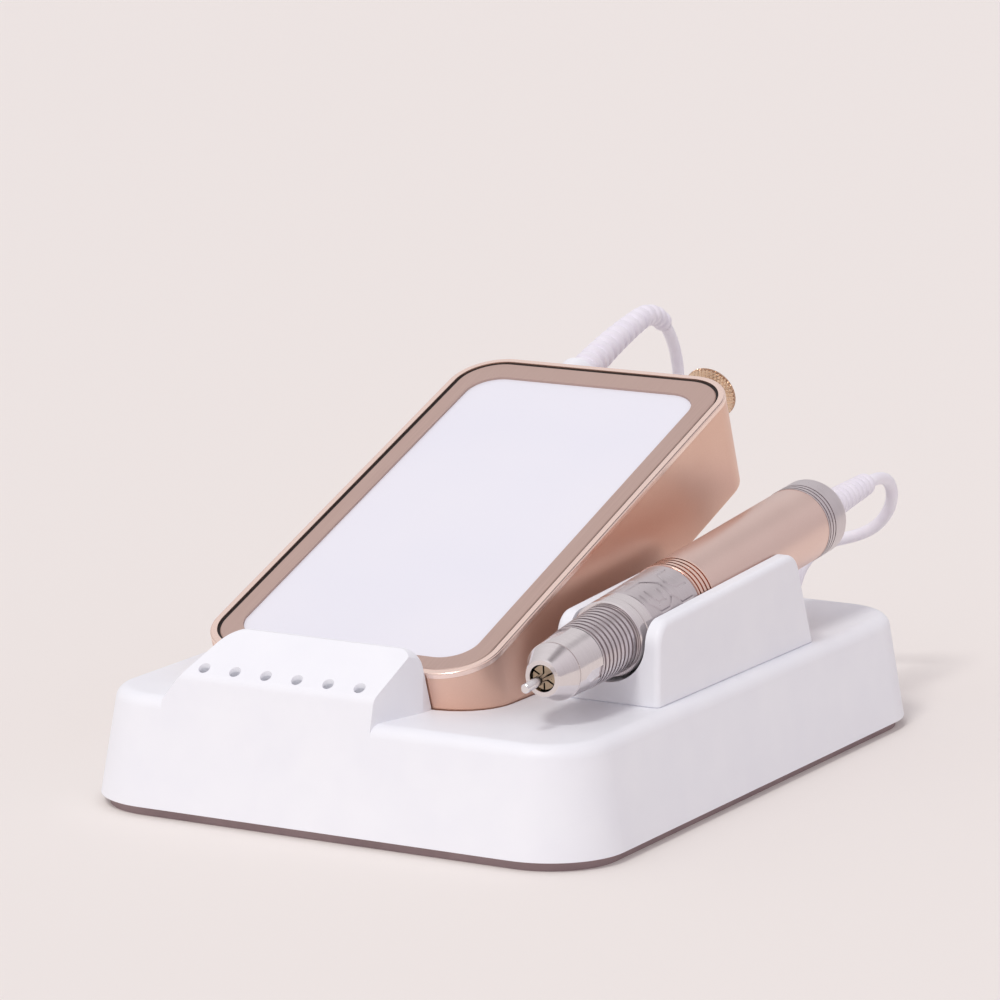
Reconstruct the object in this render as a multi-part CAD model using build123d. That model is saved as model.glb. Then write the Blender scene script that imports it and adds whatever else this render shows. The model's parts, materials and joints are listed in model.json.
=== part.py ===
from build123d import *
import os
from math import cos, radians, sin, tan

os.makedirs("parts", exist_ok=True)

# Frame: X right along the dock's front edge, Y to the back, Z up, origin on the
# surface it stands on, under the middle of the dock.  Millimetres.
DOCK_W = 143.6
DOCK_D = 191.4
DOCK_TOP = 29.5
DOCK_CORNER = 20.0
DOCK_DRAFT = 9.5
DOCK_EDGE = 3.6
DOCK_WALL = 3.2
PAD_H = 2.5
PAD_INSET = 2.2
BASE_T = 2.2

# Display unit, a slab of one thickness that leans back in a pocket of the dock.
SLAB_W = 80.5
SLAB_L = 150.2
SLAB_T = 26.7
SLAB_R = 13.4
SLAB_TILT = 20.0
SLAB_X = -10.4
SLAB_FRONT_Y = -73.2
SLAB_FRONT_Z = 39.1
SLAB_GAP = 0.4
RIM_INSET = 0.0
RIM_W = 1.8
RIM_H = 1.4
GASKET_W = 0.7
FACE_DEPTH = 0.3
FACE_T = 2.0
WINDOW_W = 66.0
WINDOW_L = 133.1
WINDOW_R = 8.5
WINDOW_SHIFT = -0.9
WINDOW_DEPTH = 0.9
WINDOW_T = 1.4
FLOOR_T = 2.0
WALL_IN = 2.2
CELL_R = 9.1
CELL_Y = -30.0
CELL_Z = -SLAB_T + FLOOR_T + CELL_R + 1.2
BOARD_Y = 38.0
COVER_SPOTS = [(x, y) for x in (-32.0, 32.0) for y in (-66.0, 66.0)]

# Ledge in front of the display unit.
LEDGE_LEFT = -44.9
LEDGE_RIGHT = 16.2
LEDGE_TOP = 45.4
LEDGE_CREASE_Z = 35.5
LEDGE_SLOPE = 36.9
LEDGE_SKEW = 15.0
LEDGE_LEFT_RUN = 12.0
LEDGE_LEFT_ROUND = 8.0
LEDGE_RIGHT_ROUND = 4.5
BIT_HOLES = 6
BIT_PITCH = 8.76
BIT_FIRST_X = -37.2
BIT_Y = -87.9
BIT_R = 1.3
BIT_DEPTH = 9.0

# Small parts of the dock.
SCREW_R = 1.5
SCREW_HEAD_R = 2.9
SCREW_SPOTS = [(x, y) for x in (-56.0, 56.0) for y in (-80.0, 80.0)]
REST_W = 54.0
REST_FRONT = 62.0
REST_BACK = 112.0
REST_LEAN = 8.0
PIN_R = 0.9
PIN_Y = -46.0
PIN_SPOTS = [-7.5, -2.5, 2.5, 7.5]
INLET_X = -30.0
INLET_Z = 14.0

# Handpiece, measured along its axis from the end of the bit shank.
PEN_X = 49.5
PEN_Y = -83.94
PEN_Z = 41.15
PEN_TILT = 5.5
SHANK_R = 1.175
PEN_NOSE = 8.6
PEN_CONE_END = 14.5
PEN_LOCK = 24.7
PEN_STEP = 41.2
PEN_GRIP = 48.6
PEN_ACCENT = 72.0
PEN_BARREL = 79.0
PEN_CAP = 144.0
PEN_REAR = 155.8
PEN_BOOT_END = 187.0
BARREL_R = 10.0
CORE_R = 7.3
RUN = 0.05

# Cradle beside the display unit.
CRADLE_W = 28.5
CRADLE_FRONT = -43.0
CHANNEL_R = 10.4

# Knob and jack on the display unit's rear face.
KNOB_X = 11.8
KNOB_DOWN = 13.0
KNOB_R = 7.5
KNOB_L = 11.0
KNOB_START = 4.0
JACK_X = -26.7
JACK_DOWN = 11.0
PORT_X = -7.2
PORT_DOWN = 14.0
PLUG_L = 13.0

# Cord, and the coil of it that lies behind the dock in two layers.
CORD_R = 1.65
COIL_X = 3.8
COIL_Y = 126.9
COIL_MID_R = 19.1
COIL_WIDE = 4
LAYER_RISE = 2.86
GAP = 0.3

slab = Plane(
    origin=(SLAB_X, SLAB_FRONT_Y, SLAB_FRONT_Z),
    x_dir=(1, 0, 0),
    z_dir=(0, -sin(radians(SLAB_TILT)), cos(radians(SLAB_TILT))),
)
rear = Plane(
    origin=slab.from_local_coords((0, SLAB_L, 0)),
    x_dir=(1, 0, 0),
    z_dir=(0, cos(radians(SLAB_TILT)), sin(radians(SLAB_TILT))),
)
pen = Plane(
    origin=(PEN_X, PEN_Y, PEN_Z),
    x_dir=(1, 0, 0),
    z_dir=(0, cos(radians(PEN_TILT)), sin(radians(PEN_TILT))),
)


def save(name, shape):
    """Write one node and say how big it is."""
    solids = shape.solids()
    whole = solids[0] if len(solids) == 1 else Compound(children=list(solids))
    export_step(whole, "parts/" + name + ".step")
    print(name, "solids", len(solids), "volume", round(sum(s.volume for s in solids), 1))


def turned(outline):
    """A solid turned about local Z from (radius, height) corners."""
    corners = [(radius, 0, height) for radius, height in outline]
    return revolve(make_face(Polyline(*corners, close=True)), Axis.Z)


def tube(outer, inner, low, high):
    """A plain ring between two heights."""
    return turned([(inner, low), (outer, low), (outer, high), (inner, high)])


def on(plane, shape):
    """Move a shape made about the origin onto a plane."""
    return plane.location * shape


def plate(width, depth, corner, low, high):
    """A round-cornered plate centred on local Z, between two heights."""
    return Pos(0, 0, low) * extrude(RectangleRounded(width, depth, corner), high - low)


def inset_plate(inset, low, high):
    """The slab's outline drawn in by an inset, between two heights."""
    return plate(SLAB_W - 2 * inset, SLAB_L - 2 * inset, SLAB_R - inset, low, high)


def in_slab(shape):
    """Move a shape centred on the slab's outline onto the slab."""
    return on(slab, Pos(0, SLAB_L / 2, 0) * shape)


def grooved(radius_at, start, end, count, width, depth, bore):
    """A ring whose outside carries evenly spaced grooves."""
    outline = [(bore, start), (radius_at(start), start)]
    pitch = (end - start) / count
    for index in range(count):
        middle = start + (index + 0.5) * pitch
        low = middle - width / 2
        high = middle + width / 2
        outline += [(radius_at(low), low), (radius_at(low) - depth, low)]
        outline += [(radius_at(high) - depth, high), (radius_at(high), high)]
    outline += [(radius_at(end), end), (bore, end)]
    return turned(outline)


def ribbed_boot(path, start_r, end_r, ribs):
    """A tapered strain relief along a path, with a disc for each rib."""
    stations = [index / ribs for index in range(ribs + 1)]
    core = [
        Plane(path.location_at(at)) * Circle(0.82 * (start_r + (end_r - start_r) * at))
        for at in stations
    ]
    body = loft(core)
    rib_l = 0.5 * path.length / ribs
    for index in range(ribs):
        at = (index + 0.5) / ribs
        radius = start_r + (end_r - start_r) * at
        body += path.location_at(at) * Cylinder(radius, rib_l)
    return body


# ---------------------------------------------------------------- dock
def dock_outline(inset, low, height):
    """The dock's drafted block, drawn in by an inset."""
    base = RectangleRounded(DOCK_W - 2 * inset, DOCK_D - 2 * inset, DOCK_CORNER - inset)
    return Pos(0, 0, low) * extrude(base, height, taper=DOCK_DRAFT)


def wall_y(z):
    """Where the drafted front wall stands at a height."""
    return -DOCK_D / 2 + (z - PAD_H) * tan(radians(DOCK_DRAFT))


def slab_room(extra, below, above):
    """The room that the display unit takes up, and its way out."""
    return in_slab(plate(SLAB_W + 2 * extra, SLAB_L + 2 * extra, SLAB_R + extra, -SLAB_T - below, above))


def ledge_z(y):
    """Height of the ledge's slope."""
    return LEDGE_CREASE_Z + (y - wall_y(LEDGE_CREASE_Z)) * tan(radians(LEDGE_SLOPE))


def make_ledge():
    """The sloping ledge that rises from the front wall to the display unit."""
    floor_z = 20.0
    crease = wall_y(LEDGE_CREASE_Z)
    back = crease + 26.0
    side = make_face(
        Polyline(
            (wall_y(floor_z), floor_z),
            (crease, LEDGE_CREASE_Z),
            (back, ledge_z(back)),
            (back, floor_z),
            close=True,
        )
    )
    side = fillet(side.vertices().sort_by_distance((crease, LEDGE_CREASE_Z, 0))[0], 3.5)
    long = Pos(LEDGE_LEFT - 5, 0, 0) * extrude(Plane.YZ * side, LEDGE_RIGHT - LEDGE_LEFT + 10)
    foot = LEDGE_LEFT - 2.5
    view = make_face(
        Polyline(
            (foot, floor_z),
            (foot, DOCK_TOP - 0.5),
            (foot + LEDGE_LEFT_RUN, LEDGE_TOP),
            (LEDGE_RIGHT, LEDGE_TOP),
            (LEDGE_RIGHT, floor_z),
            close=True,
        )
    )
    corner = view.vertices().sort_by_distance((foot + LEDGE_LEFT_RUN, LEDGE_TOP, 0))[0]
    view = fillet(corner, LEDGE_LEFT_ROUND)
    corner = view.vertices().sort_by_distance((LEDGE_RIGHT, LEDGE_TOP, 0))[0]
    view = fillet(corner, LEDGE_RIGHT_ROUND)
    body = long & extrude(Plane.XZ.offset(-back) * view, 60, both=True)
    skew = Pos(LEDGE_RIGHT, back - 10.0, 40) * Rot(0, 0, -LEDGE_SKEW) * Pos(30, 0, 0) * Box(60, 90, 60)
    return body - skew


def make_dock_shell():
    """The white moulded dock, hollow underneath."""
    block = dock_outline(0, PAD_H, DOCK_TOP - PAD_H)
    block = fillet(block.faces().sort_by(Axis.Z)[-1].edges(), DOCK_EDGE)
    body = block + make_ledge() - slab_room(SLAB_GAP, GAP, 40)
    hollow = dock_outline(DOCK_WALL, PAD_H + BASE_T, DOCK_TOP - PAD_H - BASE_T - 3.0)
    hollow -= slab_room(SLAB_GAP + 2.6, GAP + 2.6, 40)
    for x, y in SCREW_SPOTS:
        hollow -= Pos(x, y, 15) * Cylinder(4.2, 30)
    body -= hollow
    body -= dock_outline(DOCK_WALL - 0.8, PAD_H, BASE_T)
    for x, y in SCREW_SPOTS:
        body -= Pos(x, y, 10) * Cylinder(SCREW_R, 12)
    for index in range(BIT_HOLES):
        mouth = (BIT_FIRST_X + index * BIT_PITCH, BIT_Y, ledge_z(BIT_Y))
        hole = Plane(origin=mouth, x_dir=(1, 0, 0), z_dir=(0, -sin(radians(20)), cos(radians(20))))
        body -= on(hole, Pos(0, 0, -BIT_DEPTH / 2 + 2) * Cylinder(BIT_R, BIT_DEPTH + 4))
        body -= on(hole, Pos(0, 0, 0.2) * Cone(BIT_R, BIT_R + 0.5, 1.6))
    for x in PIN_SPOTS:
        body -= in_slab(Pos(x, PIN_Y, -SLAB_T - GAP - 2) * Cylinder(PIN_R + RUN, 6))
    body -= Pos(INLET_X, DOCK_D / 2, INLET_Z) * Rot(90, 0, 0) * Box(9.4, 3.6, 20)
    return body


def rest_outline(inset, low):
    """Side of the wedge under the display unit, as a face across X."""
    top = SLAB_T + GAP + inset
    front = slab.from_local_coords((0, REST_FRONT, -top))
    back = slab.from_local_coords((0, REST_BACK, -top))
    return make_face(
        Polyline(
            (front.Y + inset, low),
            (front.Y + inset, front.Z),
            (back.Y - inset, back.Z),
            (back.Y - inset + REST_LEAN, low),
            close=True,
        )
    )


def make_controller_rest():
    """The hollow wedge that the display unit's back half leans on."""
    low = DOCK_TOP
    outer = Pos(SLAB_X, 0, 0) * extrude(Plane.YZ * rest_outline(0, low), REST_W / 2, both=True)
    upright = outer.edges().filter_by(lambda e: abs((e @ 0).X - (e @ 1).X) < 0.01)
    outer = fillet(upright.filter_by(lambda e: (e @ 0).Z > low + 0.1 or (e @ 1).Z > low + 0.1), 1.5)
    width = REST_W / 2 - 2.4
    inner = Pos(SLAB_X, 0, 0) * extrude(Plane.YZ * rest_outline(2.4, low), width, both=True)
    return outer - inner


def channel():
    """The room for the handpiece in its cradle, open upwards."""
    length = 130.0
    low = 30.0
    round_part = Pos(0, 0, low + length / 2) * Cylinder(CHANNEL_R, length)
    way_out = Pos(0, -30, low + length / 2) * Box(2 * CHANNEL_R, 60, length)
    return on(pen, round_part + way_out)


def make_handpiece_cradle():
    """The white block with the handpiece's channel."""
    front = CRADLE_FRONT
    side = make_face(
        Polyline(
            (front, DOCK_TOP),
            (front, 50.2),
            (front + 75.0, 54.6),
            (front + 85.5, DOCK_TOP),
            close=True,
        )
    )
    side = fillet(side.vertices().sort_by_distance((front, 50.2, 0))[0], 6.0)
    side = fillet(side.vertices().sort_by_distance((front + 75.0, 54.6, 0))[0], 6.0)
    block = Pos(PEN_X, 0, 0) * extrude(Plane.YZ * side, CRADLE_W / 2, both=True)
    body = block - channel()
    tops = body.edges().filter_by(lambda e: e.center().Z > DOCK_TOP + 4)
    outside = tops.filter_by(lambda e: abs(abs(e.center().X - PEN_X) - CRADLE_W / 2) < 0.05)
    body = fillet(outside, 1.6)
    foot = body.edges().filter_by(lambda e: e.center().Z < DOCK_TOP + 0.01)
    sides = foot.filter_by(lambda e: abs(abs(e.center().X - PEN_X) - CRADLE_W / 2) < 0.05)
    return chamfer(sides, 0.35)


def make_base_plate():
    """The plate that closes the dock underneath."""
    body = dock_outline(DOCK_WALL - 0.65, PAD_H, BASE_T)
    for x, y in SCREW_SPOTS:
        body -= Pos(x, y, 4) * Cylinder(SCREW_R + 0.2, 8)
        body -= Pos(x, y, PAD_H) * Cylinder(SCREW_HEAD_R + 0.2, 2.6)
    return body


def make_non_slip_pad():
    """The rubber pad that the dock stands on."""
    width = DOCK_W - 2 * PAD_INSET
    depth = DOCK_D - 2 * PAD_INSET
    body = extrude(RectangleRounded(width, depth, DOCK_CORNER - PAD_INSET), PAD_H)
    for x, y in SCREW_SPOTS:
        body -= Pos(x, y, 0) * Cylinder(SCREW_HEAD_R + 0.5, 8)
    return body


def make_base_screws():
    """Four screws up into the dock's posts."""
    screw = turned(
        [(0, PAD_H), (SCREW_HEAD_R, PAD_H), (SCREW_HEAD_R, PAD_H + 1.2), (SCREW_R, PAD_H + 1.3)]
        + [(SCREW_R, 14.0), (0, 14.0)]
    )
    screw -= Pos(0, 0, PAD_H) * Box(0.8, 3.0, 1.0)
    return Compound(children=[Pos(x, y, 0) * screw for x, y in SCREW_SPOTS])


def make_usb_shell(width, height, depth):
    """A reversible charging socket, mouth towards -Z, with its tongue."""
    outer = extrude(SlotOverall(width, height), depth)
    inner = extrude(SlotOverall(width - 0.6, height - 0.6), depth - 1.0)
    tongue = Pos(0, 0, depth / 2) * Box(width - 2.4, 0.7, depth - 2.0)
    return outer - inner + Pos(0, 0, 0.9) * tongue


def make_ballast_weight():
    """A steel plate that keeps the loaded dock from tipping."""
    low = PAD_H + BASE_T + 0.3
    return Pos(42.0, 0, low + 3) * Box(38.0, 120.0, 6.0)


def make_charge_board():
    """The dock's charging board, under the pocket."""
    body = Pos(SLAB_X, -34.7, 7.6) * Box(50.0, 36.0, 1.6)
    for x in (-12.0, 3.0, 16.0):
        body += Pos(SLAB_X + x, -36.7, 9.2) * Box(8.0, 8.0, 1.6)
    return body


def make_pin_block():
    """The block under the pocket that guides the sprung pins."""
    top = -SLAB_T - GAP - 2.65
    block = Pos(0, PIN_Y, top - 2.5) * Box(21.0, 5.0, 5.0)
    for x in PIN_SPOTS:
        block -= Pos(x, PIN_Y, top - 1.5) * Cylinder(PIN_R + RUN, 5.0)
    return in_slab(block)


def make_charge_pins():
    """The sprung pins that reach up into the pocket."""
    pin = turned([(0, -5.9), (PIN_R, -5.9), (PIN_R, -0.3), (PIN_R - 0.4, 0), (0, 0)])
    top = -SLAB_T
    return Compound(children=[in_slab(Pos(x, PIN_Y, top) * pin) for x in PIN_SPOTS])


def make_dock_inlet():
    """The dock's charging socket in the back wall."""
    shell = make_usb_shell(8.9, 3.2, 8.0)
    back = DOCK_D / 2 - (INLET_Z - PAD_H) * tan(radians(DOCK_DRAFT)) - 0.5
    return Pos(INLET_X, back, INLET_Z) * Rot(90, 0, 0) * shell


# ------------------------------------------------------------ display unit
def on_rear(x, down, shape):
    """Place a shape, made along +Z, on the display unit's rear face."""
    return on(rear, Pos(x, down, 0) * shape)


def make_housing():
    """The satin metal side wall of the display unit."""
    inner = WALL_IN
    top = -RIM_H - 0.02
    ring = plate(SLAB_W, SLAB_L, SLAB_R, -SLAB_T, top)
    ring = fillet(ring.faces().sort_by(Axis.Z)[0].edges(), 0.8)
    ring -= plate(SLAB_W - 2 * inner, SLAB_L - 2 * inner, SLAB_R - inner, -SLAB_T - 1, top + 1)
    body = in_slab(ring)
    body -= on_rear(KNOB_X - SLAB_X, KNOB_DOWN, Cylinder(3.6, 12))
    body -= on_rear(JACK_X - SLAB_X, JACK_DOWN, Cylinder(5.0, 12))
    body -= on_rear(PORT_X - SLAB_X, PORT_DOWN, Box(9.4, 3.8, 12))
    return body


def make_rim():
    """The polished ring round the display."""
    outer = RIM_INSET
    inner = RIM_INSET + RIM_W
    ring = plate(SLAB_W - 2 * outer, SLAB_L - 2 * outer, SLAB_R - outer, -RIM_H, 0)
    ring = fillet(ring.faces().sort_by(Axis.Z)[-1].edges(), 0.5)
    ring -= plate(SLAB_W - 2 * inner, SLAB_L - 2 * inner, SLAB_R - inner, -RIM_H - 1, 1)
    return in_slab(ring)


def make_gasket():
    """The dark seal seen in the gap between rim and faceplate."""
    lip_outer = RIM_INSET + RIM_W + 0.05
    lip_inner = RIM_INSET + RIM_W + GASKET_W - 0.05
    face_under = -FACE_DEPTH - FACE_T - 0.05
    lip_low = -RIM_H + 0.02
    ring = inset_plate(WALL_IN + 0.05, -4.4, lip_low) + inset_plate(lip_outer, lip_low, -0.6)
    ring -= inset_plate(lip_inner, face_under, 1)
    ring -= inset_plate(5.0, -5, 0)
    return in_slab(ring)


def make_faceplate():
    """The matt plate that borders the window."""
    outer = RIM_INSET + RIM_W + GASKET_W
    top = -FACE_DEPTH
    body = plate(SLAB_W - 2 * outer, SLAB_L - 2 * outer, SLAB_R - outer, top - FACE_T, top)
    body = chamfer(body.faces().sort_by(Axis.Z)[-1].edges(), 0.25)
    body -= Pos(0, WINDOW_SHIFT, 0) * plate(WINDOW_W, WINDOW_L, WINDOW_R, top - 3, top + 1)
    return in_slab(body)


def make_window():
    """The pale window, a little below the faceplate."""
    gap = 0.05
    width = WINDOW_W - 2 * gap
    sheet = plate(width, WINDOW_L - 2 * gap, WINDOW_R - gap, -WINDOW_DEPTH - WINDOW_T, -WINDOW_DEPTH)
    return in_slab(Pos(0, WINDOW_SHIFT, 0) * sheet)


def make_battery_cells():
    """Two round cells side by side."""
    cell = Rot(90, 0, 0) * Cylinder(CELL_R, 65.0)
    cell += Pos(0, 33.0, 0) * Rot(90, 0, 0) * Cylinder(3.2, 1.0)
    spots = [Pos(x, CELL_Y, CELL_Z) for x in (-CELL_R - 0.5, CELL_R + 0.5)]
    return Compound(children=[in_slab(spot * cell) for spot in spots])


def make_battery_tray():
    """The open tray that holds the cells."""
    box = Pos(0, CELL_Y, -SLAB_T + FLOOR_T + 4.6) * Box(4 * CELL_R + 6, 72.0, 9.0)
    for x in (-CELL_R - 0.5, CELL_R + 0.5):
        box -= Pos(x, CELL_Y, CELL_Z) * Rot(90, 0, 0) * Cylinder(CELL_R + 0.1, 68.0)
    box = box.solids().sort_by(SortBy.VOLUME)[-1]
    return in_slab(box)


def make_main_board():
    """The control board with its driver parts."""
    low = -SLAB_T + FLOOR_T + 2.0
    body = Pos(0, BOARD_Y, low) * Box(66.0, 46.0, 1.6)
    for x, y, size, height in ((-18, 6, 9, 1.6), (4, -8, 12, 2.0), (20, 8, 7, 1.4), (-22, -12, 6, 4.0)):
        body += Pos(x, BOARD_Y + y, low + 0.8 + height / 2) * Box(size, size, height)
    return in_slab(body)


def make_display_module():
    """The display panel behind the window."""
    top = -WINDOW_DEPTH - WINDOW_T - 0.05
    return in_slab(plate(WINDOW_W - 4.0, WINDOW_L - 6.0, 4.0, top - 2.2, top))


def make_back_cover():
    """The plate under the display unit, with its four pads let in."""
    width = SLAB_W - 2 * WALL_IN - 0.1
    length = SLAB_L - 2 * WALL_IN - 0.1
    body = plate(width, length, SLAB_R - WALL_IN, -SLAB_T, -SLAB_T + FLOOR_T)
    for x, y in COVER_SPOTS:
        body -= Pos(x, y, -SLAB_T) * Cylinder(2.2, 2.4)
        body -= Pos(x, y, -SLAB_T) * Cylinder(1.1, 8)
    for x in PIN_SPOTS:
        body -= Pos(x, PIN_Y, -SLAB_T) * Cylinder(1.6, 1.0)
    return in_slab(body)


def make_cover_screws():
    """Four small screws in the back cover, and the posts they hold."""
    screw = turned([(0, 0.2), (2.1, 0.2), (2.1, 1.1), (1.05, 1.15), (1.05, 5.0), (0, 5.0)])
    screw -= Pos(0, 0, 0.2) * Box(0.6, 2.4, 0.8)
    return Compound(children=[in_slab(Pos(x, y, -SLAB_T) * screw) for x, y in COVER_SPOTS])


def make_charge_pads():
    """Gilt pads that meet the dock's pins."""
    pad = Cylinder(1.55, 0.4)
    return Compound(children=[in_slab(Pos(x, PIN_Y, -SLAB_T + 0.25) * pad) for x in PIN_SPOTS])


def make_speed_pot():
    """The speed control behind the rear wall, with its threaded neck."""
    body = Pos(0, 0, -WALL_IN - 4.1) * Cylinder(6.5, 8.0)
    body += Pos(0, 0, -0.7) * Cylinder(3.5, 4.8)
    body -= Cylinder(2.0 + RUN, 30)
    return on_rear(KNOB_X - SLAB_X, KNOB_DOWN, body)


def make_knob_nut():
    """The flat nut and washer round the speed control's neck."""
    body = tube(6.0, 3.55, 0.05, 0.6)
    body += Pos(0, 0, 0.6) * (extrude(RegularPolygon(4.9, 6), 1.2) - Cylinder(3.55, 8))
    return on_rear(KNOB_X - SLAB_X, KNOB_DOWN, body)


def make_speed_knob():
    """The grip of the speed knob; its diamond knurl is left to the look."""
    low = KNOB_START
    high = KNOB_START + KNOB_L
    body = turned([(0, low), (KNOB_R - 0.7, low), (KNOB_R, low + 0.7), (KNOB_R, high - 1.5), (0, high - 1.5)])
    body -= Pos(0, 0, low) * Cylinder(2.0, 16)
    return on_rear(KNOB_X - SLAB_X, KNOB_DOWN, body)


def make_knob_cap():
    """The bright end of the speed knob."""
    low = KNOB_START + KNOB_L - 1.5
    body = turned([(0, low), (KNOB_R - 0.1, low), (KNOB_R - 1.2, low + 1.5), (0, low + 1.5)])
    return on_rear(KNOB_X - SLAB_X, KNOB_DOWN, body)


def make_pot_shaft():
    """The speed control's turning shaft."""
    low = -WALL_IN - 7.0
    high = KNOB_START + 8.0
    return on_rear(KNOB_X - SLAB_X, KNOB_DOWN, Pos(0, 0, (low + high) / 2) * Cylinder(2.0, high - low))


def make_jack():
    """The socket that the handpiece's plug goes into."""
    body = tube(7.0, 3.1, 0.05, 1.2)
    body += tube(4.9, 3.1, -14.0, 0.5)
    body += Pos(0, 0, -14.5) * Cylinder(4.9, 1.0)
    return on_rear(JACK_X - SLAB_X, JACK_DOWN, body)


def make_plug():
    """The plug on the cord, pushed home in the jack."""
    outline = [(0, -13.5), (2.0, -13.5), (3.0, -12.5), (3.0, 1.3), (5.4, 1.3), (5.6, 1.8)]
    outline += [(5.6, PLUG_L - 0.6), (5.0, PLUG_L), (0, PLUG_L)]
    return on_rear(JACK_X - SLAB_X, JACK_DOWN, turned(outline))


def boot_path():
    """Centreline of the strain relief behind the display unit."""
    start = rear.from_local_coords((JACK_X - SLAB_X, JACK_DOWN, PLUG_L + 0.02))
    way = Vector(0, cos(radians(SLAB_TILT)), sin(radians(SLAB_TILT)))
    first = Edge.make_line(start, start + way * 8.0)
    second = bend(first @ 1, SLAB_TILT, 12.0, 28.0)
    third = bend(second @ 1, 12.0, -40.0, 15.0)
    return Wire([first, second, third])


def bend(start, angle_in, angle_out, length):
    """An arc in the YZ plane that turns from one slope to another."""
    radius = length / abs(radians(angle_out - angle_in))
    half = (angle_in + angle_out) / 2
    chord = 2 * radius * sin(radians(abs(angle_out - angle_in) / 2))
    end = start + Vector(0, cos(radians(half)), sin(radians(half))) * chord
    tangent = Vector(0, cos(radians(angle_in)), sin(radians(angle_in)))
    return Edge.make_tangent_arc(start, tangent, end)


def make_controller_boot():
    """The ribbed strain relief behind the display unit."""
    return ribbed_boot(boot_path(), 4.4, 2.6, 15)


def make_controller_port():
    """The display unit's own charging socket."""
    shell = Pos(0, 0, -7.0) * make_usb_shell(8.9, 3.2, 6.9)
    return on_rear(PORT_X - SLAB_X, PORT_DOWN, shell)


# --------------------------------------------------------------- handpiece
def make_bit_shank():
    """The shank of the fitted bit."""
    outline = [(0, 0.05), (SHANK_R - 0.25, 0.05), (SHANK_R, 0.3), (SHANK_R, 34.0), (0, 34.0)]
    return on(pen, turned(outline))


def make_collet():
    """The slotted collet that grips the shank."""
    outline = [(SHANK_R, PEN_NOSE + 0.9), (3.0, PEN_NOSE + 0.9), (3.2, PEN_NOSE + 1.4), (3.2, 22.0), (SHANK_R, 22.0)]
    body = turned(outline)
    for turn in (0, 60, 120):
        body -= Rot(0, 0, turn) * Pos(0, 0, PEN_NOSE + 4) * Box(0.45, 9, 8)
    return on(pen, body.solids().sort_by(SortBy.VOLUME)[-1])


def make_spindle():
    """The spindle from the collet to the motor."""
    return on(pen, tube(2.5, SHANK_R, 22.0, 34.0) + Pos(0, 0, 59.0) * Cylinder(2.5, 50.0))


def make_rotor():
    """The motor's rotor and its rear shaft."""
    return on(pen, Pos(0, 0, 105.0) * Cylinder(5.2, 42.0) + Pos(0, 0, 131.0) * Cylinder(1.5, 10.0))


def make_bearings():
    """Two bearings in front of the motor."""
    rings = [tube(6.7, 2.5 + RUN, low, low + 5.0) for low in (27.0, 58.0)]
    return Compound(children=[on(pen, ring) for ring in rings])


def make_rear_bearing():
    """The small bearing behind the motor."""
    return on(pen, tube(5.0, 1.5 + RUN, 130.0, 133.0))


def make_motor_can():
    """The motor's magnet and its can."""
    body = tube(8.9, 5.5, 80.0, 130.0) + tube(8.9, 5.05, 130.0, 136.0)
    return on(pen, body)


def make_nose_cone():
    """The bright cone round the collet."""
    outline = [(3.4, PEN_NOSE), (4.5, PEN_NOSE), (4.8, PEN_NOSE + 0.4), (7.2, PEN_CONE_END - 0.2)]
    outline += [(7.2, PEN_CONE_END), (3.4, PEN_CONE_END)]
    return on(pen, turned(outline))


def make_front_sleeve():
    """The sleeve behind the nose cone, with a flat on its side."""
    outline = [(3.6, PEN_CONE_END + 0.02), (7.35, PEN_CONE_END + 0.02), (7.95, PEN_LOCK - 0.15)]
    outline += [(3.6, PEN_LOCK - 0.15)]
    body = turned(outline)
    for turn in (15, 135, 255):
        body -= Rot(0, 0, turn) * Pos(8.2, 0, PEN_LOCK - 4) * Box(1.4, 3.2, 9.0)
    return on(pen, body)


def make_core_tube():
    """The inner tube that the grip pieces sit on."""
    return on(pen, tube(CORE_R, 6.72, PEN_LOCK - 0.1, PEN_BARREL))


def lock_radius(at):
    """Outside of the twist ring."""
    return 8.0 + (at - PEN_LOCK) * 0.7 / (PEN_STEP - PEN_LOCK)


def make_lock_ring():
    """The grooved ring that turns to free the bit."""
    ring = grooved(lock_radius, PEN_LOCK, PEN_STEP - 0.15, 9, 0.75, 0.5, CORE_R + RUN)
    return on(pen, ring)


def make_step_ring():
    """The smooth bright ring behind the twist ring."""
    bore = CORE_R + 0.01
    outline = [(bore, PEN_STEP), (9.3, PEN_STEP), (9.6, PEN_STEP + 0.4), (9.6, 44.6), (9.3, 44.75)]
    outline += [(9.3, 45.05), (9.6, 45.2), (9.6, PEN_GRIP - 0.05), (bore, PEN_GRIP - 0.05)]
    return on(pen, turned(outline))


def make_grip_sleeve():
    """The satin sleeve that carries the engraved pattern."""
    bore = CORE_R + 0.01
    outline = [(bore, PEN_GRIP), (9.45, PEN_GRIP), (9.6, PEN_GRIP + 0.3), (9.9, PEN_ACCENT - 0.05)]
    outline += [(bore, PEN_ACCENT - 0.05)]
    return on(pen, turned(outline))


def make_accent_ring():
    """The rose gold ring with fine grooves."""
    ring = grooved(lambda at: 10.1, PEN_ACCENT, PEN_BARREL - 0.05, 4, 0.65, 0.9, CORE_R + 0.01)
    return on(pen, ring)


def make_barrel():
    """The rose gold barrel round the motor."""
    return on(pen, tube(BARREL_R, 8.95, PEN_BARREL, PEN_CAP - 0.05))


def make_end_cap():
    """The silver cap behind the barrel."""
    front = grooved(lambda at: 10.1, PEN_CAP, PEN_CAP + 4.5, 3, 0.5, 0.35, 4.0)
    outline = [(4.0, PEN_CAP + 4.5), (10.1, PEN_CAP + 4.5), (10.1, PEN_REAR - 2.2)]
    outline += [(9.4, PEN_REAR - 0.6), (8.0, PEN_REAR), (4.0, PEN_REAR)]
    return on(pen, front + turned(outline))


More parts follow.
